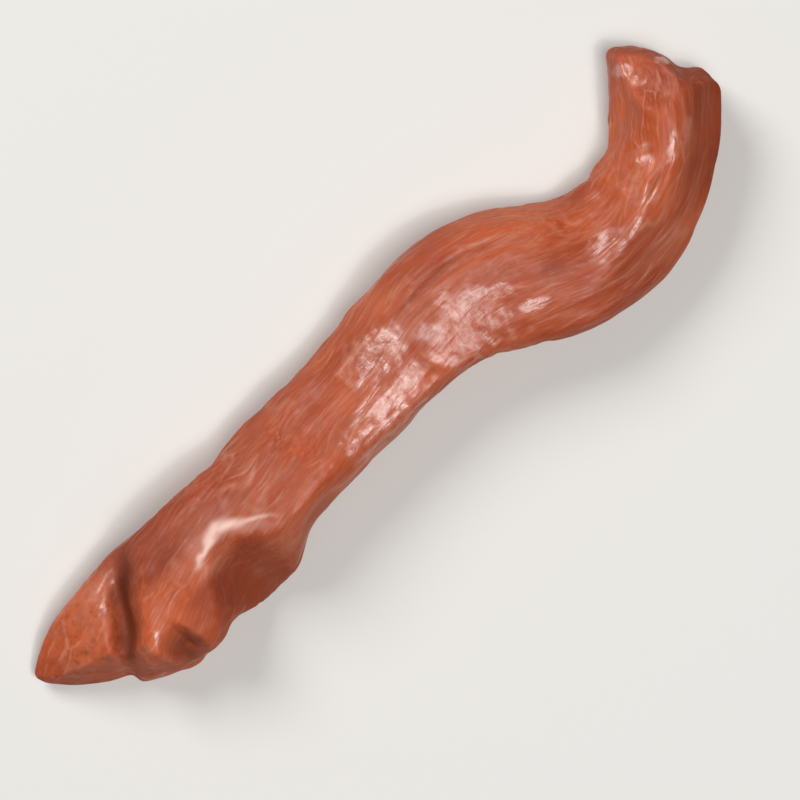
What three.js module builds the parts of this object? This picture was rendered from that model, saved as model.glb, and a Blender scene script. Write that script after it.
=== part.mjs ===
// One strip of raw lean beef, as cut by hand for stroganoff, lying on a flat surface.
//
// Frame: millimetres, +Z up. +X runs along the chord of the strip, from its two-lobed end to its plain
// cut end, and +Y is to the left of that. The strip rests on z = 0, and its box is centred on X and Y.
//
// The form is worked out on a straight strip first: u runs along it, n to the left of its middle line
// and z up. Every cross-section is a polygon of knife-cut faces with softened corners. Flat slices are
// then taken off, a furrow parts the two lobes, and the strip is bent along its middle line.
import * as THREE from "three";

// Main sizes, mm
const STRIP_LENGTH = 71;
const STRIP_THICKNESS = 8.2;
const HALF_WIDTH_LEFT = 4.6;
const HALF_WIDTH_RIGHT = 4.4;
const MIDDLE_HEIGHT = 4.0; // of the middle line above the flat underside
const UNDERSIDE_DEPTH = 5.0; // of the bottom face below the middle line, so the floor trims it flat
const CORNER_SHARPNESS = 13; // the higher, the tighter two knife-cut faces meet
const CUT_EDGE_ROUND = 1.3; // rounding where a side meets an end face
const FLOOR_ROUND = 0.5; // height over which the underside turns up from the floor

// The middle line: heading at the lobed end, in degrees from the chord, and its three bends
const START_HEADING = 9.5;
const BENDS = [
  { by: -13.5, middle: 10, over: 20 },
  { by: -31, middle: 42, over: 13 },
  { by: 80, middle: 58.5, over: 22 },
];

// Sizes that change along the strip: the usual one, its swellings (by how much, at which u and with
// what reach) and its steps (by how much, from which u and over what length)
const LEFT_WIDTH = {
  usual: HALF_WIDTH_LEFT,
  swells: [
    { by: 2.6, at: 4.5, reach: 5.5 }, // the left lobe
    { by: 0.9, at: 43, reach: 8 },
  ],
  steps: [{ by: -0.5, from: 56, over: 8 }], // the arm is slimmer
};
const RIGHT_WIDTH = {
  usual: HALF_WIDTH_RIGHT,
  swells: [
    { by: 0.9, at: 3, reach: 4 }, // the right lobe
    { by: 2.4, at: 13.5, reach: 4.5 }, // the foot of the long slope
    { by: 1.6, at: 49, reach: 9 }, // the outer side of the bend
  ],
  steps: [{ by: -0.4, from: 56, over: 9 }],
};
const TOP_HEIGHT = {
  usual: STRIP_THICKNESS,
  swells: [
    { by: -0.7, at: 2, reach: 5 },
    { by: 0.4, at: 16, reach: 6 },
    { by: -0.6, at: 31, reach: 6 },
    { by: 0.4, at: 41, reach: 5 },
    { by: -0.9, at: 52, reach: 6 },
    { by: 0.8, at: 64, reach: 6 }, // the raised arm
  ],
};
const LEFT_BEVEL = {
  usual: 1.1,
  swells: [
    { by: 0.9, at: 30, reach: 8 },
    { by: 0.8, at: 62, reach: 6 },
  ],
};
const RIGHT_BEVEL = {
  usual: 0.7,
  swells: [
    { by: 0.1, at: 34, reach: 7 },
    { by: 0.7, at: 60, reach: 5 },
  ],
};
const LOWER_LEFT_BEVEL = 1.1;
const LOWER_RIGHT_BEVEL = 1.0;

// How far the whole section is turned about the middle line, degrees; the last part twists to the left
const TWIST = {
  usual: 0,
  swells: [
    { by: -7, at: 24, reach: 9 },
    { by: 8, at: 44, reach: 8 },
  ],
  steps: [{ by: 16, from: 54, over: 12 }],
};

// A knife is never held quite square: how far each face sways about its own direction, in degrees, with
// a wave of so many mm for each radian, and the wave's start in radians
const TOP_SWAY = { by: 5, wave: 11, start: 0.6 };
const LEFT_SWAY = { by: 7, wave: 10, start: 2 };
const RIGHT_SWAY = { by: -7, wave: 12, start: 0.4 };
const LEFT_BEVEL_SWAY = { by: 10, wave: 9, start: 0 };
const RIGHT_BEVEL_SWAY = { by: 9, wave: 7.5, start: 1 };
const TOP_LEAN = { usual: 0, swells: [{ by: 6, at: 33, reach: 5 }] };

// The long slope that takes over the upper right corner behind the lobes
const SLOPE_SHARE = { usual: 0, swells: [{ by: 1, at: 12.5, reach: 5 }] };
const SLOPE_DISTANCE = 3.4; // from the middle line
const SLOPE_UNDERCUT = 0.5; // how much the lower right bevel shrinks below it

// Flat slices: a point u, n, z of the cut face, the way it faces (degrees from +u towards +n) and its
// tilt upwards. Each reaches SLICE_REACH along the strip to both sides of its point.
const SLICE_REACH = 9;
const SLICE_ROUND = 0.12;
const SLICES = [
  { u: 1, n: 4.4, z: 4.7, faces: 150, tilt: 60 }, // top of the lower lobe
  { u: 20.5, n: 2.8, z: 7.7, faces: 60, tilt: 66 }, // left shoulder behind the lobes
  { u: 27, n: 3.9, z: 6.1, faces: 97, tilt: 38 }, // left side of the straight part
  { u: 35.5, n: -2.6, z: 7.4, faces: -97, tilt: 79 }, // gently sloping right half of the top
  { u: 44, n: -1, z: 8.0, faces: -60, tilt: 83 }, // broad top of the bend
  { u: 52.5, n: -4.4, z: 6.7, faces: -80, tilt: 64 }, // outer side of the bend
  { u: 60.5, n: 3.0, z: 7.2, faces: 118, tilt: 52 }, // inner side of the raised arm
  { u: 63.5, n: -2.2, z: 7.6, faces: -96, tilt: 50 }, // outer side of the raised arm
  { u: 69, n: 1.6, z: 7.2, faces: 30, tilt: 60 }, // top of the plain end
];

// The two lobes of the first end
const END_START = 0.2;
const END_SLANT = -0.8; // how far the end face runs back per mm to the left
const END_LEAN = 0.4; // how far it runs back per mm of height
const END_SHIFT_LENGTH = 13; // length over which the slant of the end dies out
const RIGHT_LOBE_LEAD = 0.6; // how far the right lobe reaches past the left one
const END_NOTCH_DEPTH = 0.4; // where the furrow comes out of the end face
const SEAM_START = -1.0; // n of the furrow between the lobes at u = 0
const SEAM_SLOPE = 0.75; // how far the furrow moves left per mm along
const SEAM_WANDER = 0.22; // how far it wanders to either side of that line
const SEAM_LENGTH = 11; // u at which the furrow has run out on the left side
const LOBE_DROP = 0.3; // share by which the left lobe lies lower than the right one
const FURROW_DEPTH = 0.4; // depth of the furrow as a share of the height
const FURROW_LEFT_REACH = 1.5;
const FURROW_RIGHT_REACH = 1.1;
const DENT_DEPTH = 0.28; // the same for the dent in the right lobe
const DENT_PLACE = -3.4; // n of the dent
const DENT_REACH = 1.5;

// The plain cut end
const FAR_SLANT = 0.35; // how far it runs on per mm to the left
const FAR_LEAN = -0.22; // how far it runs on per mm of height
const FAR_HOLLOW = 0.7; // depth of the shallow hollow on its right
const FAR_SHIFT_LENGTH = 9;
const END_DOMING = 0.35; // how far both end faces bulge in their middle

// Unevenness: its height, its size along u, n and z, and the seed of its noise
const BROAD_SWELLING = { by: 0.38, size: [8, 5, 5], seed: 1 };
const SMALL_SWELLING = { by: 0.16, size: [4.2, 3.4, 3.4], seed: 2 };
const BEND_WRINKLES = { by: 0.24, size: [1.9, 4, 5], seed: 40 };
const ARM_LUMPS = { by: 0.35, size: [2.6, 1.9, 3], seed: 41 };
const BUNDLE_LINE_DEPTH = 0.25;
const FOLD_HEIGHT = 0.12;
const FOLD_PLACE = 35.6; // u of the low fold that crosses the straight part

// The grid of the surface
const BODY_RINGS = 100;
const RING_CROWDING = 0.5; // share by which the rings stand closer at the lobed end
const EDGE_RINGS = 3;
const FACE_RINGS = 3;
const POINTS_AROUND = 48;
const TOP_CROWDING = 0.35; // share by which a ring's points stand closer on the top

const radians = THREE.MathUtils.degToRad;

// A smooth bump of height 1 at the centre, down to 1/e at one reach away.
function hump(x, centre, reach) {
  return Math.exp(-(((x - centre) / reach) ** 2));
}

// A smooth step from 0 at start to 1 at start + over.
function rise(x, start, over) {
  return THREE.MathUtils.smoothstep(x, start, start + over);
}

// A size at u: the usual one with its swellings and steps.
function sizeAt({ usual, swells = [], steps = [] }, u) {
  const swollen = swells.reduce((sum, { by, at, reach }) => sum + by * hump(u, at, reach), usual);
  return steps.reduce((sum, { by, from, over }) => sum + by * rise(u, from, over), swollen);
}

function sway({ by, wave, start }, u) {
  return by * Math.sin(u / wave + start);
}

// A number from 0 to 1 for each point of a whole-number lattice.
function latticeValue(i, j, k, seed) {
  let h =
    Math.imul(i, 374761393) + Math.imul(j, 668265263) + Math.imul(k, 1274126177) + Math.imul(seed, 97531);
  h = Math.imul(h ^ (h >>> 13), 1274126177);
  return ((h ^ (h >>> 16)) >>> 0) / 4294967295;
}

function fade(t) {
  return t * t * t * (t * (6 * t - 15) + 10);
}

// Smooth noise from -1 to 1: the lattice values blended across each cell.
function noise(x, y, z, seed) {
  const cell = [x, y, z].map(Math.floor);
  const part = [x - cell[0], y - cell[1], z - cell[2]].map(fade);
  let sum = 0;
  for (let corner = 0; corner < 8; corner++) {
    const step = [corner & 1, (corner >> 1) & 1, corner >> 2];
    const weight = step.reduce((w, s, axis) => w * (s ? part[axis] : 1 - part[axis]), 1);
    sum += weight * latticeValue(cell[0] + step[0], cell[1] + step[1], cell[2] + step[2], seed);
  }
  return 2 * sum - 1;
}

function uneven({ by, size, seed }, u, n, z) {
  return by * noise(u / size[0], n / size[1], z / size[2], seed);
}

// The knife-cut faces of the section at u: the way each faces, degrees from +n towards +z, and its
// distance from the middle line. A bevel's distance is measured back from the corner it takes off.
function sectionFaces(u) {
  const left = sizeAt(LEFT_WIDTH, u);
  const right = sizeAt(RIGHT_WIDTH, u);
  const up = sizeAt(TOP_HEIGHT, u) - MIDDLE_HEIGHT;
  const turn = sizeAt(TWIST, u);
  const slope = sizeAt(SLOPE_SHARE, u);
  const corner = (angle, n, z) => n * Math.cos(radians(angle)) + z * Math.sin(radians(angle));
  const leftAngle = 42 + sway(LEFT_BEVEL_SWAY, u);
  const rightAngle = 138 + 3 * slope + sway(RIGHT_BEVEL_SWAY, u) * (1 - slope);
  const leftCut = corner(leftAngle, left, up) - sizeAt(LEFT_BEVEL, u);
  const rightCut = corner(rightAngle, -right, up) - sizeAt(RIGHT_BEVEL, u);
  const lowerLeftCut = corner(316, left, -MIDDLE_HEIGHT) - LOWER_LEFT_BEVEL;
  const lowerRightCut = corner(224, -right, -MIDDLE_HEIGHT) - LOWER_RIGHT_BEVEL;
  return [
    [90 + turn + sway(TOP_SWAY, u) + sizeAt(TOP_LEAN, u), up],
    [turn + sway(LEFT_SWAY, u), left],
    [180 + turn + sway(RIGHT_SWAY, u), right],
    [leftAngle + turn, leftCut],
    [rightAngle + turn * (1 - slope), rightCut * (1 - slope) + SLOPE_DISTANCE * slope],
    [270, UNDERSIDE_DEPTH],
    [316 + 0.5 * turn, lowerLeftCut],
    [224 + 0.5 * turn, lowerRightCut + SLOPE_UNDERCUT * slope],
  ];
}

// Distance from the middle line to the surface in the direction phi of the section: the faces joined
// by a power mean, which leaves them flat and softens the corners.
function sectionRadius(phi, faces) {
  let sum = 0;
  for (const [angle, distance] of faces) {
    sum += Math.max(Math.cos(phi - radians(angle)) / distance, 0) ** CORNER_SHARPNESS;
  }
  return sum ** (-1 / CORNER_SHARPNESS);
}

// How far the lobed end face lies along u: slanted, with the right lobe a little forward and a small
// notch where the furrow comes out.
function lobedEnd(n, z) {
  const lobe = -RIGHT_LOBE_LEAD * rise(-n, 0.4, 1.6);
  const notch = END_NOTCH_DEPTH * hump(n, -0.6, 0.8);
  return END_START + END_SLANT * n + END_LEAN * z + lobe + notch;
}

function plainEnd(n, z) {
  return FAR_SLANT * n + FAR_LEAN * z - FAR_HOLLOW * hump(n, -1.5, 1.2);
}

// n of the furrow between the two lobes.
function seam(u) {
  return SEAM_START + SEAM_SLOPE * u + SEAM_WANDER * Math.sin(1.5 * u);
}

// Lowers the left lobe, cuts the furrow and sinks the dent behind the end of the right lobe: the
// height at u, n is scaled by this share.
function lobeScale(u, n) {
  const side = n - seam(u);
  const near = 1 - rise(u, SEAM_LENGTH - 4, 4);
  const furrowLength = rise(u, -0.6, 3) * (1 - rise(u, 3, 6));
  const furrowReach = side > 0 ? FURROW_LEFT_REACH : FURROW_RIGHT_REACH;
  const furrow = FURROW_DEPTH * hump(side, 0, furrowReach) * furrowLength;
  const dentLength = rise(u, 2.4, 1.4) * (1 - rise(u, 4.9, 1.1));
  const dent = DENT_DEPTH * dentLength * hump(n, DENT_PLACE, DENT_REACH);
  return 1 - near * (LOBE_DROP * rise(side, -0.4, 2) + furrow) - dent;
}

// Moves a point that lies beyond the plane of a slice back onto it, with a soft edge.
function sliceOff(point, slice) {
  const facing = radians(slice.faces);
  const tilt = radians(slice.tilt);
  const normal = new THREE.Vector3(
    Math.cos(facing) * Math.cos(tilt),
    Math.sin(facing) * Math.cos(tilt),
    Math.sin(tilt),
  );
  const beyond = normal.dot(point) - normal.dot(new THREE.Vector3(slice.u, slice.n, slice.z));
  const reach = Math.exp(-(((point.x - slice.u) / SLICE_REACH) ** 4));
  const cut = SLICE_ROUND * Math.log1p(Math.exp(Math.min(beyond / SLICE_ROUND, 30))) * reach;
  point.addScaledVector(normal, -cut);
}

// Small unevenness of hand-cut meat: broad swellings, wrinkles inside the bend and lumps on the raised
// arm, and on the top a shallow line between muscle bundles and one low fold across the strip.
function relief(u, n, z) {
  const onTop = rise(z, 4, 2);
  const swelling = uneven(BROAD_SWELLING, u, n, z) + uneven(SMALL_SWELLING, u, n, z);
  const lineMiddle = 2 + 0.6 * Math.sin(u / 6) - 0.04 * (u - 40);
  const line = BUNDLE_LINE_DEPTH * hump(u, 46, 9) * hump(n, lineMiddle, 0.5);
  const wrinkles = uneven(BEND_WRINKLES, u, n, z) * rise(n, 0.5, 2.5) * hump(u, 57, 5);
  const lumps = uneven(ARM_LUMPS, u, n, z) * rise(n, -0.5, 2) * rise(u, 54, 5) * onTop;
  const pastFold = u - FOLD_PLACE - 0.3 * Math.sin(n);
  const foldLength = rise(pastFold, 0, 0.6) * (1 - rise(pastFold, 0.8, 7));
  const fold = FOLD_HEIGHT * foldLength * hump(n, -2.4, 2.2);
  return swelling * rise(z, 0, 3) + (fold - line) * onTop + wrinkles + lumps;
}

// Trims what lies below the floor flat, with a short rounding up from it.
function onFloor(z) {
  if (z < -FLOOR_ROUND) return 0;
  if (z < FLOOR_ROUND) return (z + FLOOR_ROUND) ** 2 / (4 * FLOOR_ROUND);
  return z;
}

// A point of the straight strip: ring position u, its share of the full section, and direction phi.
function straightPoint(u, share, phi) {
  const radius = sectionRadius(phi, sectionFaces(THREE.MathUtils.clamp(u, 0, STRIP_LENGTH))) * share;
  const n = radius * Math.cos(phi);
  const z = radius * Math.sin(phi);
  const point = new THREE.Vector3(u, n, z + MIDDLE_HEIGHT);
  point.x += lobedEnd(n, z) * (1 - rise(u, 0, END_SHIFT_LENGTH));
  point.x += plainEnd(n, z) * rise(u, STRIP_LENGTH - FAR_SHIFT_LENGTH, FAR_SHIFT_LENGTH);
  point.z *= lobeScale(point.x, n);
  for (const slice of SLICES) sliceOff(point, slice);
  const swell = relief(point.x, point.y, point.z) * share * share;
  point.y += swell * Math.cos(phi);
  point.z = onFloor(point.z + swell * Math.sin(phi));
  return point;
}

// The middle line as points at even steps of u, with its heading at each, by adding up short steps.
const SPINE_STEP = 0.1;
const SPINE_MARGIN = 12; // the end faces reach past the middle line's ends
const spine = [];
for (let u = -SPINE_MARGIN, x = 0, y = 0; u <= STRIP_LENGTH + SPINE_MARGIN; u += SPINE_STEP) {
  const turned = BENDS.reduce((sum, b) => sum + b.by * rise(u, b.middle - b.over / 2, b.over), 0);
  const heading = radians(START_HEADING + turned);
  spine.push({ x, y, heading });
  x += SPINE_STEP * Math.cos(heading);
  y += SPINE_STEP * Math.sin(heading);
}

// Carries a point of the straight strip onto the bent one.
function bend(point) {
  const place = (point.x + SPINE_MARGIN) / SPINE_STEP;
  const before = spine[Math.floor(place)];
  const after = spine[Math.floor(place) + 1];
  const part = place - Math.floor(place);
  const mix = (key) => THREE.MathUtils.lerp(before[key], after[key], part);
  const heading = mix("heading");
  return new THREE.Vector3(
    mix("x") - point.y * Math.sin(heading),
    mix("y") + point.y * Math.cos(heading),
    point.z,
  );
}

// The rings from the lobed end to the plain one: over the end face, round its edge, along the body,
// and the same the other way round.
function ringList() {
  const faceShare = 1 - CUT_EDGE_ROUND / HALF_WIDTH_LEFT;
  const end = [];
  for (let i = 1; i <= FACE_RINGS; i++) {
    end.push({ inset: -END_DOMING * (1 - (i / FACE_RINGS) ** 2), share: (faceShare * i) / FACE_RINGS });
  }
  for (let i = 1; i <= EDGE_RINGS; i++) {
    const angle = ((Math.PI / 2) * i) / EDGE_RINGS;
    const inset = CUT_EDGE_ROUND * (1 - Math.cos(angle));
    end.push({ inset, share: faceShare + (1 - faceShare) * Math.sin(angle) });
  }
  const rings = end.map(({ inset, share }) => ({ u: inset, share }));
  const bodyLength = STRIP_LENGTH - 2 * CUT_EDGE_ROUND;
  for (let i = 1; i < BODY_RINGS; i++) {
    const along = (i / BODY_RINGS) * (1 + RING_CROWDING * (i / BODY_RINGS - 1));
    rings.push({ u: CUT_EDGE_ROUND + bodyLength * along, share: 1 });
  }
  for (const { inset, share } of end.reverse()) rings.push({ u: STRIP_LENGTH - inset, share });
  return rings;
}

// A point of the bent strip. Place j around the ring runs from 0 to POINTS_AROUND.
function surfacePoint({ u, share }, j) {
  const turn = (2 * Math.PI * j) / POINTS_AROUND;
  return bend(straightPoint(u, share, turn + TOP_CROWDING * Math.cos(turn)));
}

// The two triangles of a cell with corners a, b, c, d. It is split along the diagonal that passes
// closer to the surface in its middle, so that no comb shows along the furrow.
function splitCell(points, [a, b, c, d], middle) {
  const gap = (from, to) => points[from].clone().lerp(points[to], 0.5).distanceTo(middle);
  return gap(a, c) < gap(b, d) ? [a, b, c, a, c, d] : [a, b, d, b, c, d];
}

// The closed surface: rings of points, joined by pairs of triangles, with a fan over each end.
function stripGeometry() {
  const rings = ringList();
  const places = Array.from({ length: POINTS_AROUND }, (_, j) => j);
  const points = rings.flatMap((ring) => places.map((j) => surfacePoint(ring, j)));
  const faces = [];
  for (let i = 0; i + 1 < rings.length; i++) {
    const between = { u: (rings[i].u + rings[i + 1].u) / 2, share: (rings[i].share + rings[i + 1].share) / 2 };
    for (const j of places) {
      const start = i * POINTS_AROUND;
      const next = (j + 1) % POINTS_AROUND;
      const cell = [start + j, start + next, start + POINTS_AROUND + next, start + POINTS_AROUND + j];
      faces.push(...splitCell(points, cell, surfacePoint(between, j + 0.5)));
    }
  }
  const firstPole = points.length;
  const lastRing = firstPole - POINTS_AROUND;
  points.push(surfacePoint({ u: -END_DOMING, share: 0 }, 0));
  points.push(surfacePoint({ u: STRIP_LENGTH + END_DOMING, share: 0 }, 0));
  for (const j of places) {
    const next = (j + 1) % POINTS_AROUND;
    faces.push(firstPole, next, j, firstPole + 1, lastRing + j, lastRing + next);
  }
  const geometry = new THREE.BufferGeometry();
  geometry.setFromPoints(points).setIndex(faces);
  geometry.computeBoundingBox();
  const centre = geometry.boundingBox.getCenter(new THREE.Vector3());
  geometry.translate(-centre.x, -centre.y, -geometry.boundingBox.min.z);
  geometry.computeVertexNormals();
  return geometry;
}

const beefStrip = new THREE.Mesh(
  stripGeometry(),
  new THREE.MeshStandardMaterial({ color: 0xb45c44, roughness: 0.4, metalness: 0 }),
);
beefStrip.name = "beef_strip";

const group = new THREE.Group();
group.add(beefStrip);
export default group;
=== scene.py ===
"""One strip of raw lean beef, cut by hand for stroganoff, seen from straight above on a pale surface."""

import math

import bpy
import numpy as np
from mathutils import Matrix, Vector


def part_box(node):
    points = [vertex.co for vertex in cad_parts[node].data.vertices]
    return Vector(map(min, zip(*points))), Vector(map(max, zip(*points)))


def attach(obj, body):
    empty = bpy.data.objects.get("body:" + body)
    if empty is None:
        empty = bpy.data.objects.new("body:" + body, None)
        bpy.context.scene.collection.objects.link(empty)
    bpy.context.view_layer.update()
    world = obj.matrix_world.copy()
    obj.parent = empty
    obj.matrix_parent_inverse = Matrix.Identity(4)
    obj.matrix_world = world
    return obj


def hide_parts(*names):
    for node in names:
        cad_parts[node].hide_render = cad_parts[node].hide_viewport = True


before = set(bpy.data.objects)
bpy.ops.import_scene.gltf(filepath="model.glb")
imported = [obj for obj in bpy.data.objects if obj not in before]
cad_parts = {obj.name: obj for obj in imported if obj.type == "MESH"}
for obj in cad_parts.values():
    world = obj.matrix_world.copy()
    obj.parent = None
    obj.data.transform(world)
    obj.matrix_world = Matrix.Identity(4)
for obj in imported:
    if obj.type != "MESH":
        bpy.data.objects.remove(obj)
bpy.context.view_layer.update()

# The form is worked out in mm on a straight strip: u along it, n to the left of its middle line, z up.
LENGTH = 71.0
THICKNESS = 8.2
HALF_LEFT = 4.6
HALF_RIGHT = 4.4
MIDDLE_HEIGHT = 4.0  # of the middle line above the flat underside
UNDERSIDE_DEPTH = 5.0  # of the bottom face below the middle line, so that the floor trims it flat
CORNER_SHARPNESS = 13.0  # the higher, the tighter two knife-cut faces meet
CUT_EDGE_ROUND = 1.3  # rounding where a side meets an end face
END_DOMING = 0.35  # how far both end faces bulge in their middle
FLOOR_ROUND = 0.5  # height over which the underside turns up from the floor

# The middle line: its heading at the lobed end, in degrees from +X, and its bends (middle, length, turn)
START_HEADING = 9.5
BENDS = ((10.0, 20.0, -13.5), (42.0, 13.0, -31.0), (58.5, 22.0, 80.0))
SPINE_STEP = 0.1
SPINE_MARGIN = 12.0  # the end faces reach past the middle line's ends

# Sizes that change along the strip: the usual one, its swellings (by how much, at which u and with what
# reach) and its steps (by how much, from which u and over what length)
LEFT_WIDTH = {"usual": HALF_LEFT, "swells": ((2.6, 4.5, 5.5), (0.9, 43, 8)), "steps": ((-0.5, 56, 8),)}
RIGHT_WIDTH = {
    "usual": HALF_RIGHT,
    "swells": (
        (0.9, 3, 4),  # the right lobe
        (2.4, 13.5, 4.5),  # the foot of the long slope
        (1.6, 49, 9),  # the outer side of the bend
    ),
    "steps": ((-0.4, 56, 9),),
}
TOP_HEIGHT = {
    "usual": THICKNESS,
    "swells": (
        (-0.7, 2, 5),
        (0.4, 16, 6),
        (-0.6, 31, 6),
        (0.4, 41, 5),
        (-0.9, 52, 6),
        (0.8, 64, 6),  # the raised arm
    ),
}
LEFT_BEVEL = {"usual": 1.1, "swells": ((0.9, 30, 8), (0.8, 62, 6))}
RIGHT_BEVEL = {"usual": 0.7, "swells": ((0.1, 34, 7), (0.7, 60, 5))}
LOWER_LEFT_BEVEL = 1.1
LOWER_RIGHT_BEVEL = 1.0

# How far the whole section is turned about the middle line, degrees; the last part twists to the left
TWIST = {"usual": 0, "swells": ((-7, 24, 9), (8, 44, 8)), "steps": ((16, 54, 12),)}
TOP_LEAN = {"usual": 0, "swells": ((6, 33, 5),)}

# How far each knife-cut face sways about its own direction, in degrees, with a wave of so many mm for
# each radian, and the wave's start in radians
TOP_SWAY = (5, 11, 0.6)
LEFT_SWAY = (7, 10, 2)
RIGHT_SWAY = (-7, 12, 0.4)
LEFT_BEVEL_SWAY = (10, 9, 0)
RIGHT_BEVEL_SWAY = (9, 7.5, 1)

# The way the bevels face, degrees from +n towards +z
LEFT_BEVEL_FACES = 42
RIGHT_BEVEL_FACES = 138
LOWER_LEFT_FACES = 316
LOWER_RIGHT_FACES = 224

# The long slope that takes over the upper right corner behind the lobes
SLOPE_SHARE = {"usual": 0, "swells": ((1, 12.5, 5),)}
SLOPE_LEAN = 3
SLOPE_DISTANCE = 3.4  # from the middle line
SLOPE_UNDERCUT = 0.5  # how much the lower right bevel shrinks below it

# Flat slices: u, n, z of a point of the cut face, the way it faces (degrees from +u) and its tilt up.
SLICE_REACH = 9.0
SLICE_ROUND = 0.12
SLICES = (
    (1.0, 4.4, 4.7, 150, 60),  # top of the lower lobe
    (20.5, 2.8, 7.7, 60, 66),  # left shoulder behind the lobes
    (27.0, 3.9, 6.1, 97, 38),  # left side of the straight part
    (35.5, -2.6, 7.4, -97, 79),  # gently sloping right half of the top
    (44.0, -1.0, 8.0, -60, 83),  # broad top of the bend
    (52.5, -4.4, 6.7, -80, 64),  # outer side of the bend
    (60.5, 3.0, 7.2, 118, 52),  # inner side of the raised arm
    (63.5, -2.2, 7.6, -96, 50),  # outer side of the raised arm
    (69.0, 1.6, 7.2, 30, 60),  # top of the plain end
)

# The two lobes of the first end
END_START = 0.2
END_SLANT = -0.8  # how far the end face runs back per mm to the left
END_LEAN = 0.4  # how far it runs back per mm of height
END_SHIFT_LENGTH = 13  # length over which the slant of the end dies out
RIGHT_LOBE_LEAD = 0.6  # how far the right lobe reaches past the left one
END_NOTCH_DEPTH = 0.4  # where the furrow comes out of the end face
SEAM_START = -1.0  # n of the furrow between the lobes at u = 0
SEAM_SLOPE = 0.75  # how far the furrow moves left per mm along
SEAM_WANDER = 0.22  # how far it wanders to either side of that line
LOBE_DROP = 0.3  # share by which the left lobe lies lower than the right one
FURROW_DEPTH = 0.4  # depth of the furrow as a share of the height
FURROW_LEFT_REACH = 1.2
FURROW_RIGHT_REACH = 0.9
DENT_DEPTH = 0.28  # the same for the dent in the right lobe

# The plain cut end
FAR_SLANT = 0.35  # how far it runs on per mm to the left
FAR_LEAN = -0.22  # how far it runs on per mm of height
FAR_HOLLOW = 0.7  # depth of the shallow hollow on its right
FAR_SHIFT_LENGTH = 9

# Unevenness of hand-cut meat: its height, its size along u, n and z, and the seed of its noise
BROAD_SWELLING = (0.38, (8, 5, 5), 1)
SMALL_SWELLING = (0.16, (4.2, 3.4, 3.4), 2)
BEND_WRINKLES = (0.24, (1.9, 4, 5), 40)
ARM_LUMPS = (0.35, (2.6, 1.9, 3), 41)
SMALL_ARM_LUMPS = (0.12, (1.3, 1.1, 2), 42)
BUNDLE_LINE_DEPTH = 0.25
FOLD_HEIGHT = 0.12
FOLD_PLACE = 35.6  # u of the low fold that crosses the straight part

# The muscle fibres: their angle to the strip seen from above, how steeply they rise along it, how far
# they sway and waver, and the length and width of the bundles that they lie in
GRAIN_PLAN_ANGLE = 7.0
GRAIN_DIP_ANGLE = 4.0
GRAIN_SWAYS = ((0.9, (11, 5, 5), 31), (0.9, (11, 5, 5), 32))  # across and up
GRAIN_WAVERS = ((0.3, (2.5, 1.4, 1.4), 33), (0.3, (2.5, 1.4, 1.4), 34))
BUNDLE = (34, 2.6)
SMALL_BUNDLE = (15, 0.9)

# Fine relief: height, size along and across the fibres, and seed
FIBRE_RELIEF = (0.012, (7, 0.42, 0.42), 74)
SIDE_RELIEF = (0.1, (4, 1.3, 1.3), 79)
UNEVEN_CUT = (0.12, (2.7, 2.0, 2.0), 71)
TORN_EDGE = (1, (1.1, 0.9, 0.9), 77)
CRINKLE_WARPS = ((0.8, (1.5, 1.2, 1.2), 78), (0.8, (1.3, 1.5, 1.5), 85))
PIT_SPACING = 0.9  # of the pits where fibres are cut across
PIT_DEPTH = 0.07
SINEW_HEIGHT = 0.07
CRINKLE_HEIGHT = 0.03

# Patches of wet film: middle u and n, half length, half width, and how thickly the film lies.
WET_PATCHES = (
    (32.8, 1.0, 2.8, 2.0, 1.0),
    (30.2, -2.9, 4.7, 2.3, 0.72),
    (31.8, -2.6, 2.6, 1.5, 0.8),
    (40.2, -2.4, 4.2, 2.7, 0.6),
    (44.4, -1.1, 1.4, 0.6, 0.7),
    (47.0, -3.0, 1.5, 0.6, 0.7),
    (54.0, -0.4, 2.4, 1.1, 0.75),
    (56.4, -1.0, 1.6, 0.7, 0.75),
    (58.9, 1.0, 1.0, 1.7, 0.7),
    (61.3, 1.9, 1.9, 0.9, 0.8),
    (63.6, -0.7, 1.3, 0.6, 0.75),
    (65.0, -1.4, 0.9, 0.4, 0.7),
    (69.6, 2.5, 0.7, 0.7, 0.8),
    (70.2, 3.5, 0.6, 0.8, 1.0),
    (70.6, 0.3, 0.5, 0.6, 1.0),
    (3.6, 4.9, 2.4, 1.2, 0.6),
    (3.4, -0.9, 0.9, 0.5, 0.9),
)

# The thin white sinew: u of its kink, and the u from and over which it fades in and out
SINEW_KINK = 14.0
SINEW_START = (9.8, 1.6)
SINEW_END = (16.2, 2.8)

# Patterns of the material: how many there are to a mm, across the fibres where they are drawn out
STREAKS_PER_MM = 1.3  # pale streaks 0.8 mm wide
FIBRES_PER_MM = 2.7  # fibres 0.4 mm wide, coarser than real ones so that they show
FIBRE_GRAIN_PER_MM = 2.8
STRANDS_PER_MM = 4.5  # strands of fibres 0.2 mm wide
BORDERS_PER_MM = 0.55  # pale borders 1.8 mm apart
BORDER_PLACES_PER_MM = 0.35  # places about 3 mm wide where the borders show
FIBRE_ENDS_PER_MM = 1.9  # ends of fibres 0.5 mm apart, where they are cut across
FILM_CLOUDS_PER_MM = 1.4  # thicker and thinner spots of the film, 0.7 mm wide
SWAYS_PER_MM = 0.2  # one sway of the fibres in 5 mm
FIBRE_STRETCH = (0.12, 1, 1)  # draws a pattern out eight times along the fibres
STRAND_STRETCH = (0.4, 1, 1)  # and the strands two and a half times more
FIBRE_SWAY = (0.3, 2.4, 2.4)
STRAND_SWAY = (0.3, 1.0, 1.0)
BUMP_DEPTH = 0.000025  # of the bump, in metres for each unit of its height

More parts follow.
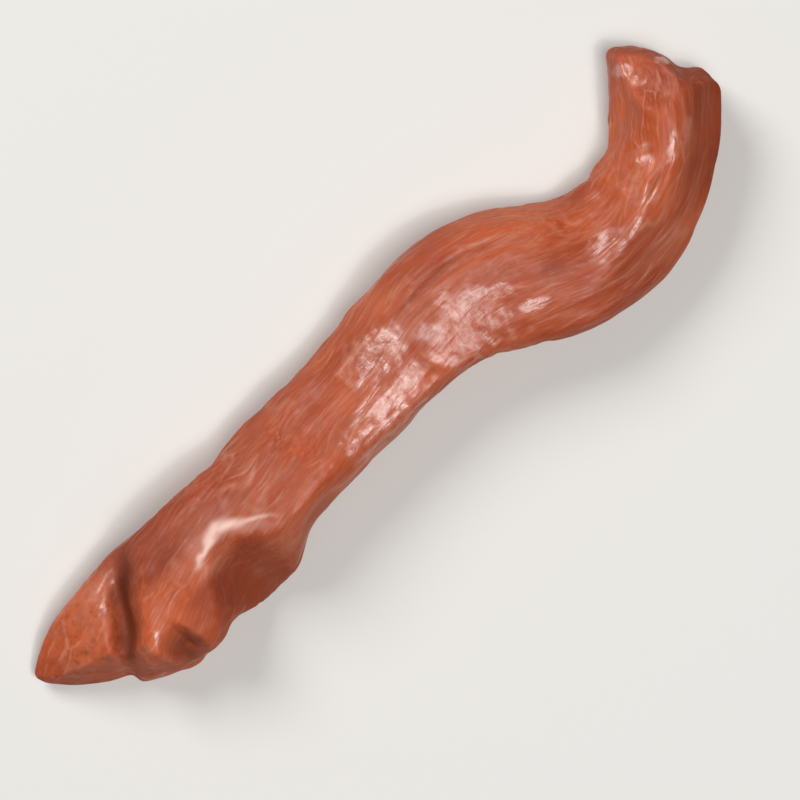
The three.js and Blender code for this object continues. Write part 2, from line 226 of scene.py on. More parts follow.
# The grid of the surface
RINGS, AROUND = ((520, 188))
FACE_RINGS = 24
EDGE_RINGS = 10
TOP_CROWDING = 0.35  # share by which a ring's points stand closer on the top
EVENING_PASSES = 30
END_RINGS_KEPT = 3  # rings at each end that the evening leaves alone


def hump(x, centre, reach):
    """A smooth bump: 1 at the centre, 1/e at one reach from it."""
    return np.exp(-(((x - centre) / reach) ** 2))


def rise(x, start, over):
    """A smooth step from 0 at start to 1 at start + over: 3t^2 - 2t^3 of the share t."""
    t = np.clip((x - start) / over, 0.0, 1.0)
    return t * t * (3.0 - 2.0 * t)


def size_at(u, usual, swells=(), steps=()):
    """A size at u: the usual one plus a hump for each swelling and a rise for each step."""
    size = usual + sum(by * hump(u, at, reach) for by, at, reach in swells)
    return size + sum(by * rise(u, start, over) for by, start, over in steps)


def sway(u, by, wave, start):
    """A face's sway at u, in degrees: a sine of u over the wave."""
    return by * np.sin(u / wave + start)


def lattice_value(i, j, k, seed):
    """A number from 0 to 1 for each whole-number lattice point, from a 32-bit integer hash."""
    h = i * 374761393 + j * 668265263 + k * 1274126177 + seed * 97531
    h = (h & 0xFFFFFFFF).astype(np.uint64)
    h = ((h ^ (h >> np.uint64(13))) * np.uint64(1274126177)) & np.uint64(0xFFFFFFFF)
    return (h ^ (h >> np.uint64(16))).astype(float) / 4294967295.0


def noise(x, y, z, seed):
    """Smooth noise from -1 to 1: the lattice values at the eight corners of each cell, blended."""
    cell = [np.floor(v).astype(np.int64) for v in (x, y, z)]
    part = [v - np.floor(v) for v in (x, y, z)]
    part = [t * t * t * (t * (6 * t - 15) + 10) for t in part]
    total = 0.0
    for corner in range(8):
        step = (corner & 1, (corner >> 1) & 1, corner >> 2)
        weight = 1.0
        for s, t in zip(step, part):
            weight = weight * (t if s else 1 - t)
        total = total + weight * lattice_value(*(c + s for c, s in zip(cell, step)), seed)
    return 2.0 * total - 1.0


def uneven(x, y, z, by, size, seed):
    """Noise of a given height and size: the height times the noise of the place over the size."""
    return by * noise(x / size[0], y / size[1], z / size[2], seed)


def cells(x, y, z, seed):
    """One random point in each lattice cell: distance to the nearest, to the second nearest, and the
    nearest one's own number."""
    home = [np.floor(v).astype(np.int64) for v in (x, y, z)]
    first = np.full(np.shape(x), 9.0)
    second = np.full(np.shape(x), 9.0)
    number = np.zeros(np.shape(x))
    for corner in range(27):
        steps = (corner % 3 - 1, corner // 3 % 3 - 1, corner // 9 - 1)
        at = [h + step for h, step in zip(home, steps)]
        offsets = [v - a - lattice_value(*at, seed + axis) for axis, (v, a) in enumerate(zip((x, y, z), at))]
        distance = np.sqrt(sum(o * o for o in offsets))
        nearer = distance < first
        second = np.where(nearer, first, np.minimum(second, distance))
        number = np.where(nearer, lattice_value(*at, seed + 3), number)
        first = np.where(nearer, distance, first)
    return first, second, number


def section_faces(u):
    """The knife-cut faces of the section at u: the way each faces, degrees from +n towards +z, and its
    distance from the middle line. A bevel's distance is measured back from the corner it takes off."""
    left, right = size_at(u, **LEFT_WIDTH), size_at(u, **RIGHT_WIDTH)
    up = size_at(u, **TOP_HEIGHT) - MIDDLE_HEIGHT
    turn = size_at(u, **TWIST)
    slope = size_at(u, **SLOPE_SHARE)

    def corner(angle, n, z):
        return n * np.cos(np.radians(angle)) + z * np.sin(np.radians(angle))

    left_angle = LEFT_BEVEL_FACES + sway(u, *LEFT_BEVEL_SWAY)
    right_angle = RIGHT_BEVEL_FACES + SLOPE_LEAN * slope + sway(u, *RIGHT_BEVEL_SWAY) * (1 - slope)
    left_cut = corner(left_angle, left, up) - size_at(u, **LEFT_BEVEL)
    right_cut = corner(right_angle, -right, up) - size_at(u, **RIGHT_BEVEL)
    lower_left_cut = corner(LOWER_LEFT_FACES, left, -MIDDLE_HEIGHT) - LOWER_LEFT_BEVEL
    lower_right_cut = corner(LOWER_RIGHT_FACES, -right, -MIDDLE_HEIGHT) - LOWER_RIGHT_BEVEL
    return (
        (90 + turn + sway(u, *TOP_SWAY) + size_at(u, **TOP_LEAN), up),
        (turn + sway(u, *LEFT_SWAY), left),
        (180 + turn + sway(u, *RIGHT_SWAY), right),
        (left_angle + turn, left_cut),
        (right_angle + turn * (1 - slope), right_cut * (1 - slope) + SLOPE_DISTANCE * slope),
        (270 + 0 * u, UNDERSIDE_DEPTH + 0 * u),
        (LOWER_LEFT_FACES + 0.5 * turn, lower_left_cut),
        (LOWER_RIGHT_FACES + 0.5 * turn, lower_right_cut + SLOPE_UNDERCUT * slope),
    )


def section_radius(phi, u):
    """Distance from the middle line to the surface in direction phi: the power mean of the distances to
    the faces, which keeps them flat and softens the corners. Gives the closeness to a corner too, from
    the second nearest face's distance over the nearest one's."""
    faces = section_faces(u)
    nearness = [np.maximum(np.cos(phi - np.radians(angle)) / distance, 0) for angle, distance in faces]
    ranked = np.sort(np.stack(nearness), axis=0)
    corner = rise(ranked[-2] / ranked[-1], 0.8, 0.2)
    return sum(v**CORNER_SHARPNESS for v in nearness) ** (-1 / CORNER_SHARPNESS), corner


def lobed_end(n, z):
    """How far the first end face lies along u: a slanted plane, with the right lobe a little forward and
    a small notch where the furrow comes out."""
    lobe = -RIGHT_LOBE_LEAD * rise(-n, 0.4, 1.6)
    return END_START + END_SLANT * n + END_LEAN * z + lobe + END_NOTCH_DEPTH * hump(n, -0.6, 0.8)


def plain_end(n, z):
    """How far the far end face lies past the strip's length: a slanted plane with a shallow hollow."""
    return FAR_SLANT * n + FAR_LEAN * z - FAR_HOLLOW * hump(n, -1.5, 1.2)


def seam(u):
    """n of the furrow between the two lobes: a slanted line plus a small sine."""
    return SEAM_START + SEAM_SLOPE * u + SEAM_WANDER * np.sin(1.5 * u)


def lobe_scale(u, n):
    """The share by which the height at u, n is scaled: 1 less the left lobe's drop, the furrow along its
    edge and the dent near the right lobe's end."""
    side = n - seam(u)
    near = 1 - rise(u, 7, 4)
    furrow_length = rise(u, -0.6, 3) * (1 - rise(u, 3, 6))
    furrow_reach = np.where(side > 0, FURROW_LEFT_REACH, FURROW_RIGHT_REACH)
    furrow = FURROW_DEPTH * hump(side, 0, furrow_reach) * furrow_length
    dent = DENT_DEPTH * rise(u, 2.4, 1.4) * (1 - rise(u, 4.9, 1.1)) * hump(n, -3.4, 1.5)
    return 1 - near * (LOBE_DROP * rise(side, -0.4, 1.8) + furrow) - dent


def slice_off(p, u, n, z, faces, tilt):
    """Points beyond the plane of a slice move back onto it along its normal, by a softened
    max(0, distance) that dies out past the slice's reach."""
    facing, tilt = math.radians(faces), math.radians(tilt)
    level = math.cos(tilt)
    normal = np.array((math.cos(facing) * level, math.sin(facing) * level, math.sin(tilt)))
    beyond = (p - (u, n, z)) @ normal
    reach = np.exp(-(((p[..., 0] - u) / SLICE_REACH) ** 4))
    cut = SLICE_ROUND * np.log1p(np.exp(np.clip(beyond / SLICE_ROUND, -30, 30))) * reach
    return p - cut[..., None] * normal


def broad_relief(u, n, z):
    """The sum of the meat's swellings, wrinkles inside the bend and lumps on the raised arm, and on the
    top a shallow line between muscle bundles and one low fold that crosses the straight part."""
    on_top = rise(z, 4, 2)
    swelling = uneven(u, n, z, *BROAD_SWELLING) + uneven(u, n, z, *SMALL_SWELLING)
    line_middle = 2.0 + 0.6 * np.sin(u / 6) - 0.04 * (u - 40)
    line = BUNDLE_LINE_DEPTH * hump(u, 46, 9) * hump(n, line_middle, 0.5)
    wrinkles = uneven(u, n, z, *BEND_WRINKLES) * rise(n, 0.5, 2.5) * hump(u, 57, 5)
    lumps = uneven(u, n, z, *ARM_LUMPS) + uneven(u, n, z, *SMALL_ARM_LUMPS)
    lumps = lumps * rise(n, -0.5, 2) * rise(u, 54, 5) * on_top
    past_fold = u - FOLD_PLACE - 0.3 * np.sin(n)
    fold_length = rise(past_fold, 0, 0.6) * (1 - rise(past_fold, 0.8, 7))
    fold = FOLD_HEIGHT * fold_length * hump(n, -2.4, 2.2)
    return swelling * rise(z, 0, 3) + (fold - line) * on_top + wrinkles + lumps


def grain(u, n, z):
    """Coordinates along and across the muscle fibres: the strip's own, turned in plan and then in dip."""
    a, b = math.radians(GRAIN_PLAN_ANGLE), math.radians(GRAIN_DIP_ANGLE)
    along = u * math.cos(a) + n * math.sin(a)
    across = -u * math.sin(a) + n * math.cos(a)
    return along * math.cos(b) + z * math.sin(b), across, -along * math.sin(b) + z * math.cos(b)


def bundles(f, c, h):
    """The muscle bundles: long random cells along the grain, which sway a little. Gives the closeness to
    a border (1 on it) and each bundle's number, for the large bundles and the small ones in them."""
    c = c + uneven(f, c, h, *GRAIN_SWAYS[0]) + uneven(f, c, h, *GRAIN_WAVERS[0])
    h = h + uneven(f, c, h, *GRAIN_SWAYS[1]) + uneven(f, c, h, *GRAIN_WAVERS[1])
    length, width = BUNDLE
    first, second, large = cells(f / length, c / width, h / width, 50)
    large_edge = 1 - rise(second - first, 0, 0.16)
    length, width = SMALL_BUNDLE
    first, second, small = cells(f / length, c / width, h / width, 60)
    small_edge = 1 - rise(second - first, 0, 0.28)
    return large_edge, large, small_edge, small


def crinkles(f, c, h):
    """The relief of the crinkled wet film, from about -1 to 1: noise on coordinates that are turned half
    a right angle from the fibres and warped by noise, and a finer one on the same."""
    warp, twist = (uneven(f, c, h, *layer) for layer in CRINKLE_WARPS)
    broad = noise((f + c) / 1.3 + warp, (c - f) / 1.1 + twist, h / 0.9 + warp, 72)
    return broad + 0.35 * noise((f + c) / 0.6 - warp, (c - f) / 0.6 + twist, h / 0.45, 73)


def sinew_film(u, n, z):
    """Where the thin white sinew lies, from 0 to 1: a hump across a line that rises to its kink and falls
    faster beyond it, widest there, and a faint veil beside it."""
    past = u - SINEW_KINK
    line = 0.4 - 0.24 * past - 0.42 * np.sqrt(past * past + 0.04)
    off = n - line - 0.3 * noise(u / 2.2, n / 9, z / 9, 80) - 0.16 * noise(u / 0.7, n / 0.8, z / 2, 82)
    width = 0.32 + 0.24 * hump(past, 0.5, 1.3) + 0.14 * noise(u / 0.8, 0 * n, 0 * z, 81)
    whole = 0.7 + 0.3 * rise(noise(u / 0.9, n / 0.5, z / 2, 83), -0.5, 0.8)
    veil = 0.22 * hump(off, -0.3, 1.0) * rise(noise(u / 1.2, n / 0.8, z / 2, 84), -0.4, 0.8)
    reach = rise(u, *SINEW_START) * (1 - rise(u, *SINEW_END)) * rise(z, 4, 1)
    return np.maximum(hump(off, 0, width) * whole, veil) * reach


def crinkle_share(u, n, z):
    """Where a finely crinkled wet film lies on the top, from 0 to 1: for each patch an ellipse whose rim
    is torn by noise on turned coordinates."""
    a, b = 0.8 * u + 0.6 * n, 0.8 * n - 0.6 * u
    torn = 0.7 * noise(a / 1.1, b / 1.1, z / 0.9, 90) + 0.45 * noise(a / 0.5, b / 0.5, z / 0.6, 94)
    share = 0.0
    for middle, across, length, width, thickness in WET_PATCHES:
        reach = ((u - middle) / length) ** 2 + ((n - across) / width) ** 2
        share = np.maximum(share, thickness * (1 - rise(reach + torn, 0.4, 1.2)))
    return share * rise(z, 3, 3)


def cut_across(u, n, z):
    """Where a face cuts the fibres across, beside the end faces: the top of the left lobe, from 0 to 1."""
    return rise(n - seam(u), 0.5, 0.8) * (1 - rise(u, 5, 4)) * rise(z, 2, 2)


def lean_tone_and_light(u, n, z):
    """How pale the lean is, from 0 to 1: a drift over several millimetres and a finer one, mottled where
    fibres are cut across, and paler on the two lobes and inside the bend. Paler on the left of the arm,
    which faces the lamps, is painted light; darker behind the sinew and on the outer side of the bend is
    painted shade."""
    drift = 0.5 + 0.4 * noise(u / 5, n / 4, z / 4, 91) + 0.2 * noise(u / 1.9, n / 1.5, z / 1.5, 92)
    mottled = 0.3 * noise(u / 0.8, n / 0.8, z / 0.8, 95) * cut_across(u, n, z)
    lobes = 0.4 * hump(u, 3, 4)
    # painted light on the left of the arm, which faces the lamps
    arm = 0.15 * hump(u, 60, 3) * rise(n, 0, 1.5)
    inner_bend = 0.25 * hump(u, 47, 6) * rise(n, -0.5, 1.5)
    # painted shade behind the sinew and on the outer side of the bend
    behind_sinew = 0.5 * hump(u, 9, 3.5) * rise(n, 1.0, 1.2)
    outer_bend = 0.2 * hump(u, 51, 5) * rise(-n, 1, 2)
    return np.clip(drift + mottled + lobes + arm + inner_bend - behind_sinew - outer_bend, 0, 1)


def painted_shade_share(u, n, z, end_face):
    """Where shade is painted into the lean and its film is left off, from 0 to 1: the long slope, the outer
    side of the arm and the end faces, which face away from the lamps, and a little of it behind the sinew."""
    slope = hump(u, 11.5, 4.5) * rise(-n, 1.0, 1.2)
    arm = rise(u, 59, 4) * rise(-n, 1.0, 1.2)
    behind = 0.75 * hump(u, 9.5, 3.5) * rise(n, 0.8, 1.2)
    lower_down = 1 - 0.5 * rise(-z, -3, 3)
    return np.clip(np.maximum(slope, arm) * lower_down + behind + 0.5 * end_face, 0, 1)


def crease_shade_share(u, n, z):
    """Where shade is painted dark, from 0 to 1: in the furrow between the lobes, in the dent of the right
    lobe and along the foot of the fold."""
    side = n - seam(u)
    furrow_length = (1 - rise(u, 5.5, 4)) * rise(u, -0.3, 2)
    furrow = 1.1 * hump(side, 0.2, np.where(side > 0.2, 1.0, 0.7)) * furrow_length
    dent = 0.75 * hump(u, 4.3, 1.4) * hump(n, -3.5, 1.5)
    fold = 0.3 * hump(u - 0.3 * np.sin(n), 35.5, 0.18) * hump(n, -2.8, 1.4)
    return (furrow + dent + fold) * rise(z, 1, 2.5)


def spine():
    """The middle line, by adding up short steps along its heading: u, x, y and heading of each step."""
    s = np.arange(-SPINE_MARGIN, LENGTH + SPINE_MARGIN, SPINE_STEP)
    turned = sum(turn * rise(s, middle - over / 2, over) for middle, over, turn in BENDS)
    heading = np.radians(START_HEADING + turned)
    x = np.concatenate(([0.0], np.cumsum(SPINE_STEP * np.cos(heading[:-1]))))
    y = np.concatenate(([0.0], np.cumsum(SPINE_STEP * np.sin(heading[:-1]))))
    return s, x, y, heading


def bend(p):
    """Carries points of the straight strip onto the bent one: along the middle line by u, then sideways
    by n."""
    s, x, y, heading = spine()
    u, n, z = np.moveaxis(p, -1, 0)
    h = np.interp(u, s, heading)
    return np.stack((np.interp(u, s, x) - n * np.sin(h), np.interp(u, s, y) + n * np.cos(h), z), -1)


def ring_places():
    """u and the share of the full section of every ring: over the end face, round its edge, along the
    body, and the same back."""
    face_share = 1 - CUT_EDGE_ROUND / HALF_LEFT
    a = np.linspace(0, 1, FACE_RINGS + 1)[1:]
    angle = np.linspace(0, np.pi / 2, EDGE_RINGS + 1)[1:]
    inset = np.concatenate((-END_DOMING * (1 - a**2), CUT_EDGE_ROUND * (1 - np.cos(angle))))
    share = np.concatenate((face_share * a, face_share + (1 - face_share) * np.sin(angle)))
    body = np.linspace(CUT_EDGE_ROUND, LENGTH - CUT_EDGE_ROUND, RINGS - 2 * len(inset))[1:-1]
    u = np.concatenate((inset, body, LENGTH - inset[::-1]))
    return u, np.concatenate((share, np.ones(len(body)), share[::-1]))


def outward(p):
    """Unit normals of a grid of points: the cross product of its steps around and along."""
    along = np.gradient(p, axis=0)
    around = np.roll(p, -1, axis=1) - np.roll(p, 1, axis=1)
    normal = np.cross(around, along)
    return normal / np.maximum(np.linalg.norm(normal, axis=-1, keepdims=True), 1e-9)


def evened(p):
    """The grid with each point near the furrow moved towards the mean of its neighbours on the next
    rings, many times over, so that no comb shows on the furrow's steep wall."""
    u, n, z = np.moveaxis(p, -1, 0)
    share = hump(n - seam(u), 0, 1.5) * (1 - rise(u, 9, 3)) * (z > 1)
    share[:END_RINGS_KEPT] = 0
    share[-END_RINGS_KEPT:] = 0
    for _ in range(EVENING_PASSES):
        mean = 0.25 * np.roll(p, 1, axis=0) + 0.5 * p + 0.25 * np.roll(p, -1, axis=0)
        p = p + share[..., None] * (mean - p)
    return p


def cut_strip():
    """The straight strip as it leaves the knife, as a grid of points, rings by points around. Each ring
    is the section's outline times the ring's share, moved along by the end faces and scaled in height
    by the lobes. Then it is sliced, evened and swollen. Gives the rings' shares and the closeness to a
    corner too."""
    ring_u, ring_share = ring_places()
    t = np.arange(AROUND) * 2 * np.pi / AROUND
    u, phi = np.meshgrid(ring_u, t + TOP_CROWDING * np.cos(t), indexing="ij")
    share = np.repeat(ring_share[:, None], AROUND, axis=1)
    radius, corner = section_radius(phi, np.clip(u, 0, LENGTH))
    radius = radius * share
    n, z = radius * np.cos(phi), radius * np.sin(phi)
    first_end = lobed_end(n, z) * (1 - rise(u, 0, END_SHIFT_LENGTH))
    far_end = plain_end(n, z) * rise(u, LENGTH - FAR_SHIFT_LENGTH, FAR_SHIFT_LENGTH)
    along = u + first_end + far_end
    p = np.stack((along, n, (z + MIDDLE_HEIGHT) * lobe_scale(along, n)), -1)
    for cut in SLICES:
        p = slice_off(p, *cut)
    p = evened(p)
    swell = broad_relief(*np.moveaxis(p, -1, 0)) * share * share
    p[..., 1] += swell * np.cos(phi)
    p[..., 2] += swell * np.sin(phi)
    return p, share, corner


def on_floor(z):
    """Trims what lies below the floor flat, with a short parabola up from it."""
    rounded = (z + FLOOR_ROUND) ** 2 / (4 * FLOOR_ROUND)
    return np.where(z < -FLOOR_ROUND, 0, np.where(z < FLOOR_ROUND, rounded, z))


def strip_points():
    """The straight strip's grid of points with its fine relief laid on along the normals, and the masks
    that its material needs. The relief is a sum of bundles, fibres, unevenness of the cut, crinkles,
    torn edges, sinew and pits."""
    p, share, corner = cut_strip()
    u, n, z = np.moveaxis(p, -1, 0)
    f, c, h = grain(u, n, z)
    large_edge, large, small_edge, small = bundles(f, c, h)
    film = sinew_film(u, n, z)
    crinkled = crinkle_share(u, n, z)
    normal = outward(p)
    end_grain = np.clip(rise(np.abs(normal[..., 0]), 0.45, 0.35) + cut_across(u, n, z), 0, 1)
    pits = end_grain * hump(cells(u / PIT_SPACING, n / PIT_SPACING, z / PIT_SPACING, 75)[0], 0, 0.3)
    shown = rise(noise(f / 9, c / 3, h / 3, 76), -0.4, 0.8)  # bundles show in some places only
    steep = 1 - rise(normal[..., 2], 0.1, 0.6)

    fine = (0.03 * (large - 0.5) - 0.035 * large_edge) * shown
    fine += (0.25 + 0.75 * steep) * (0.06 * (small - 0.5) - 0.04 * small_edge) * (1 - end_grain)
    fine += uneven(f, c, h, *FIBRE_RELIEF) + steep * uneven(f, c, h, *SIDE_RELIEF)
    fine += uneven(f, c, h, *UNEVEN_CUT) + CRINKLE_HEIGHT * crinkled * crinkles(f, c, h)
    fine += (0.025 + 0.06 * corner * share) * uneven(u, n, z, *TORN_EDGE)
    fine += SINEW_HEIGHT * film - PIT_DEPTH * pits
    p = p + normal * (fine * rise(z, 0, 1.5))[..., None]
    p[..., 2] = on_floor(p[..., 2])

    normal = outward(p)
    net = np.maximum(small_edge * (0.35 + 0.25 * end_grain), large_edge)
    on_side = 1 - rise(normal[..., 2], 0, 0.4)
    masks = {
        "bundle_edge": net * np.maximum(shown, 0.7 * end_grain),
        "bundle_tone": 0.6 * large + 0.4 * small,
        "sinew_film": film,
        "crinkled": crinkled * rise(normal[..., 2], -0.1, 0.6),
        "steep": steep,
        # painted shade in the furrow, the dent, along the fold and in the pits
        "furrow": np.clip(crease_shade_share(u, n, z) + 0.3 * pits, 0, 1),
        "end_grain": end_grain,
        "lean_tone_and_light": lean_tone_and_light(u, n, z),
        # painted shade: darker lean on the long slope, the arm's outer side, the end faces and behind the
        # sinew
        "painted_shade": painted_shade_share(u, n, z, rise(np.abs(normal[..., 0]), 0.35, 0.4)),
        "side_film": rise(noise(f / 5, c / 2.2, h / 2.2, 93), 0.0, 0.5) * on_side,
    }
    return p, masks


def grid_mesh(name, points, masks, straight):
    """A closed mesh of rings of points, with a pole at each end in the middle of its ring. Masks and the
    straight strip's coordinates are stored on its points."""
    rows, columns = points.shape[:2]
    poles = np.stack((points[0].mean(axis=0), points[-1].mean(axis=0)))
    vertices = np.concatenate((points.reshape(-1, 3), poles))
    ring = np.arange(rows - 1)[:, None] * columns
    j = np.arange(columns)[None, :]
    k = (j + 1) % columns
    corners = np.broadcast_arrays(ring + j, ring + k, ring + columns + k, ring + columns + j)
    quads = np.stack(corners, -1).reshape(-1, 4)
    first_pole, last_ring = rows * columns, (rows - 1) * columns
    j, k = j[0], k[0]
    first_cap = np.stack((np.full(columns, first_pole), k, j), -1)
    last_cap = np.stack((np.full(columns, first_pole + 1), last_ring + j, last_ring + k), -1)
    mesh = bpy.data.meshes.new(name)
    mesh.from_pydata(vertices.tolist(), [], quads.tolist() + first_cap.tolist() + last_cap.tolist())
    mesh.polygons.foreach_set("use_smooth", np.ones(len(mesh.polygons), dtype=bool))
    for key, values in masks.items():
        flat = np.concatenate((values.ravel(), (values[0].mean(), values[-1].mean())))
        mesh.attributes.new(key, "FLOAT", "POINT").data.foreach_set("value", flat)
    place = np.concatenate((straight.reshape(-1, 3), (straight[0].mean(axis=0), straight[-1].mean(axis=0))))
    mesh.attributes.new("strip_co", "FLOAT_VECTOR", "POINT").data.foreach_set("vector", place.ravel())
    mesh.update()
    piece = bpy.data.objects.new(name, mesh)
    bpy.context.scene.collection.objects.link(piece)
    return piece


def linear(hex_colour):
    """A colour given as sRGB hex, as the linear RGBA that the shader sockets take."""
    parts = [int(hex_colour[i : i + 2], 16) / 255 for i in (1, 3, 5)]
    return tuple(v / 12.92 if v <= 0.04045 else ((v + 0.055) / 1.055) ** 2.4 for v in parts) + (1.0,)


def add(tree, kind, inputs, out=0, **settings):
    """Adds a node with its settings, links or sets its inputs, and gives one of its outputs. inputs are
    in the node's own order, or keyed by number or name; each is a value or another node's output."""
    node = tree.nodes.new("ShaderNode" + kind)
    for key, value in settings.items():
        setattr(node, key, value)
    for key, value in inputs.items() if isinstance(inputs, dict) else enumerate(inputs):
        if isinstance(value, bpy.types.NodeSocket):
            tree.links.new(value, node.inputs[key])
        else:
            node.inputs[key].default_value = value
    return node.outputs[out]


def laid_over(tree, colour, layers):
    """The colour with each layer mixed over it in turn; a layer's share is the product of its factors."""
    for factors, over in layers:
        share = factors[0]
        for factor in factors[1:]:
            share = add(tree, "Math", (share, factor), operation="MULTIPLY")
        colour = add(tree, "Mix", {0: share, 6: colour, 7: linear(over)}, 2, data_type="RGBA")
    return colour


def beef_patterns(tree):
    """The masks stored on the strip, and the patterns of its material, by name. The patterns lie on the
    straight strip's coordinates in mm, and most are drawn out along the fibres."""
    names = ("bundle_edge", "bundle_tone", "sinew_film", "crinkled", "furrow")
    names += ("steep", "lean_tone_and_light", "painted_shade", "side_film", "end_grain")
    found = {name: add(tree, "Attribute", (), "Fac", attribute_name=name) for name in names}
    place = add(tree, "Attribute", (), "Vector", attribute_name="strip_co")
    turned = add(tree, "Mapping", {"Vector": place, "Rotation": (0, 0, -math.radians(GRAIN_PLAN_ANGLE))})
    along = add(tree, "VectorMath", (turned, FIBRE_STRETCH), operation="MULTIPLY")
    drift = add(tree, "TexNoise", {"Vector": place, "Scale": SWAYS_PER_MM, "Detail": 1.0}, "Color")
    swayed = add(tree, "VectorMath", (drift, FIBRE_SWAY, along), operation="MULTIPLY_ADD")
    drawn = add(tree, "VectorMath", (drift, STRAND_SWAY, along), operation="MULTIPLY_ADD")
    drawn = add(tree, "VectorMath", (drawn, STRAND_STRETCH), operation="MULTIPLY")

    def cloud(where, scale, detail, roughness=0.5):
        """The inputs of a noise pattern."""
        return {"Vector": where, "Scale": scale, "Detail": detail, "Roughness": roughness}

    fibre_cell = add(tree, "TexVoronoi", {"Vector": swayed, "Scale": FIBRES_PER_MM}, "Distance")
    borders = {"Vector": swayed, "Scale": BORDERS_PER_MM}
    found |= {
        "streak": add(tree, "TexNoise", cloud(along, STREAKS_PER_MM, 4.0, 0.6), "Fac"),
        "strand": add(tree, "TexNoise", cloud(drawn, STRANDS_PER_MM, 2.0, 0.6), "Fac"),
        "fibre": add(tree, "TexNoise", cloud(along, FIBRE_GRAIN_PER_MM, 3.0, 0.6), "Fac"),
        "fibre_cell": fibre_cell,
        "fibre_tone": fibre_cell.node.outputs["Color"],
        "net": add(tree, "TexVoronoi", borders, "Distance", feature="DISTANCE_TO_EDGE"),
        "net_places": add(tree, "TexNoise", cloud(place, BORDER_PLACES_PER_MM, 2.0), "Fac"),
        "dots": add(tree, "TexVoronoi", {"Vector": place, "Scale": FIBRE_ENDS_PER_MM}, "Distance"),
        "wet": add(tree, "TexNoise", cloud(place, FILM_CLOUDS_PER_MM, 3.0, 0.65), "Fac"),
    }
    return found


def lean_colour(tree, found):
    """A salmon-brown lean that drifts over several millimetres, differs a little from bundle to bundle and
    from fibre to fibre, and pales where a film lies on it, partly as painted sheen on the wet patches.
    Painted shade darkens it on faces turned from the lamps and in the furrow, the dent and the fold, and
    painted light pales the left of the arm."""
    film_left = found["film_left"]
    lengthwise = add(tree, "MapRange", (found["end_grain"], 0, 1, 1, 0.2))
    pale_streaks = add(tree, "MapRange", (found["streak"], 0.48, 0.75, 0, 0.22))
    bundle_light = add(tree, "MapRange", (found["bundle_tone"], 0, 1, 0.93, 1.06))
    dark_fibres = add(tree, "MapRange", (found["fibre_tone"], 0, 1, 0, 0.16))
    dark_strands = add(tree, "MapRange", (found["strand"], 0.48, 0.72, 0, 0.26))
    pale_strands = add(tree, "MapRange", (found["strand"], 0.28, 0.45, 0.18, 0))
    net_lines = add(tree, "MapRange", (found["net"], 0, 0.06, 1, 0))
    net_places = add(tree, "MapRange", (found["net_places"], 0.45, 0.62, 0, 0.26))
    fibre_ends = add(tree, "MapRange", (found["dots"], 0.1, 0.4, 1, 0))
    film_and_painted_sheen = add(tree, "MapRange", (found["wet"], 0.35, 0.65, 0.04, 0.36))
    crinkled = found["crinkled"]
    colour = laid_over(
        tree,
        linear("#953b1b"),
        (
            ((found["lean_tone_and_light"],), "#bd5b34"),
            # painted shade on the faces turned away from the lamps and behind the sinew
            ((found["painted_shade"], 0.55), "#6a230b"),
            ((film_left, pale_streaks), "#cf8a6c"),
        ),
    )
    colour = add(tree, "VectorMath", {0: colour, "Scale": bundle_light}, operation="SCALE")
    return laid_over(
        tree,
        colour,
        (
            ((dark_fibres,), "#7c2a12"),
            ((lengthwise, dark_strands), "#7c2a12"),
            ((lengthwise, film_left, pale_strands), "#d8987c"),
            ((net_lines, net_places, film_left), "#d8a48c"),
            ((fibre_ends, found["end_grain"], 0.35), "#6a230b"),
            ((film_left, found["bundle_edge"], 0.12), "#d8a48c"),
            # a pale film on the wet patches, partly painted sheen that brightens them like the glints
            ((crinkled, crinkled, film_and_painted_sheen), "#dfa793"),
            # painted shade in the furrow, the dent, the fold's foot and the pits
            ((found["furrow"], 0.85), "#54200f"),
            ((found["sinew_film"], 0.9), "#eecabc"),
        ),
    )


def fibre_bump(tree, found):
    """Fibres and strands too fine for the mesh, deeper on the steep sides, and the crinkles' own grain."""
    depth = add(tree, "MapRange", (found["steep"], 0, 1, -0.5, -1.6))
    height = add(tree, "Math", (found["fibre_cell"], depth, found["fibre"]), operation="MULTIPLY_ADD")
    height = add(tree, "Math", (found["strand"], -0.8, height), operation="MULTIPLY_ADD")
    film = add(tree, "Math", (found["wet"], found["crinkled"]), operation="MULTIPLY")
    height = add(tree, "Math", (film, 2.0, height), operation="MULTIPLY_ADD")
    return add(tree, "Bump", {"Strength": 1.0, "Distance": BUMP_DEPTH, "Height": height}, "Normal")


def film_weight(tree, found):
    """How much wet film lies on the meat: thick on the crinkled patches, thin and broken elsewhere, a
    little on the steep sides and next to none where the lean is bare."""
    broken = add(tree, "MapRange", (found["wet"], 0.45, 0.7, 0.02, 0.2))
    level = add(tree, "MapRange", (found["steep"], 0, 1, 1, 0.4))
    thin = add(tree, "Math", (broken, level), operation="MULTIPLY")
    thin = add(tree, "Math", (thin, found["film_left"]), operation="MULTIPLY")
    thin = add(tree, "Math", (found["side_film"], 0.6, thin), operation="MULTIPLY_ADD")
    thick = add(tree, "MapRange", (found["wet"], 0.3, 0.6, 0.7, 1.3))
    return add(tree, "Math", (found["crinkled"], thick, thin), operation="MULTIPLY_ADD", use_clamp=True)


def roughness_under_film(tree, found):
    """The roughness under the film: smoother on the patches, duller on steep sides and bare lean."""
    rough = add(tree, "MapRange", (found["steep"], 0, 1, 0.46, 0.62))
    rough = add(tree, "Math", (found["crinkled"], -0.28, rough), operation="MULTIPLY_ADD")
    return add(tree, "Math", (found["bare"], 0.25, rough), operation="MULTIPLY_ADD")


